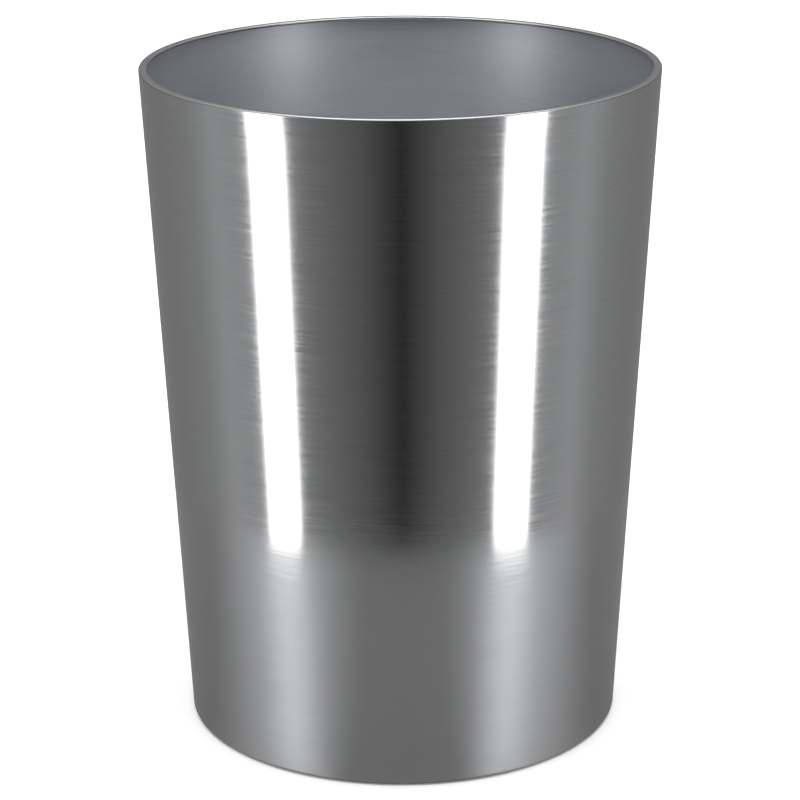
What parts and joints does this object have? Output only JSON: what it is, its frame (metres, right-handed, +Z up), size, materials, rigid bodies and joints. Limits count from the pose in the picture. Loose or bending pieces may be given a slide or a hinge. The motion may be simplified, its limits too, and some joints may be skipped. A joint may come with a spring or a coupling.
{
  "type": "wastebasket",
  "caption": "Round, tapered, open-top wastebasket of brushed stainless steel sheet with a hemmed rim, a pressed base pan and rubber floor pads.",
  "frame": {"origin": "on the floor, under the middle of the base", "axes": "+Z up along the basket's axis, -Y towards the front"},
  "size_m": [0.228, 0.228, 0.3],
  "materials": {
    "brushed_stainless": "brushed round the wall",
    "base_pan_steel": "cold-rolled mill finish",
    "black_rubber": "moulded, matte"
  },
  "bodies": {
    "root": {"body_shell": "brushed_stainless", "base_pan": "base_pan_steel", "foot_pad_1": "black_rubber", "foot_pad_2": "black_rubber", "foot_pad_3": "black_rubber", "foot_pad_4": "black_rubber"}
  },
  "joints": []
}
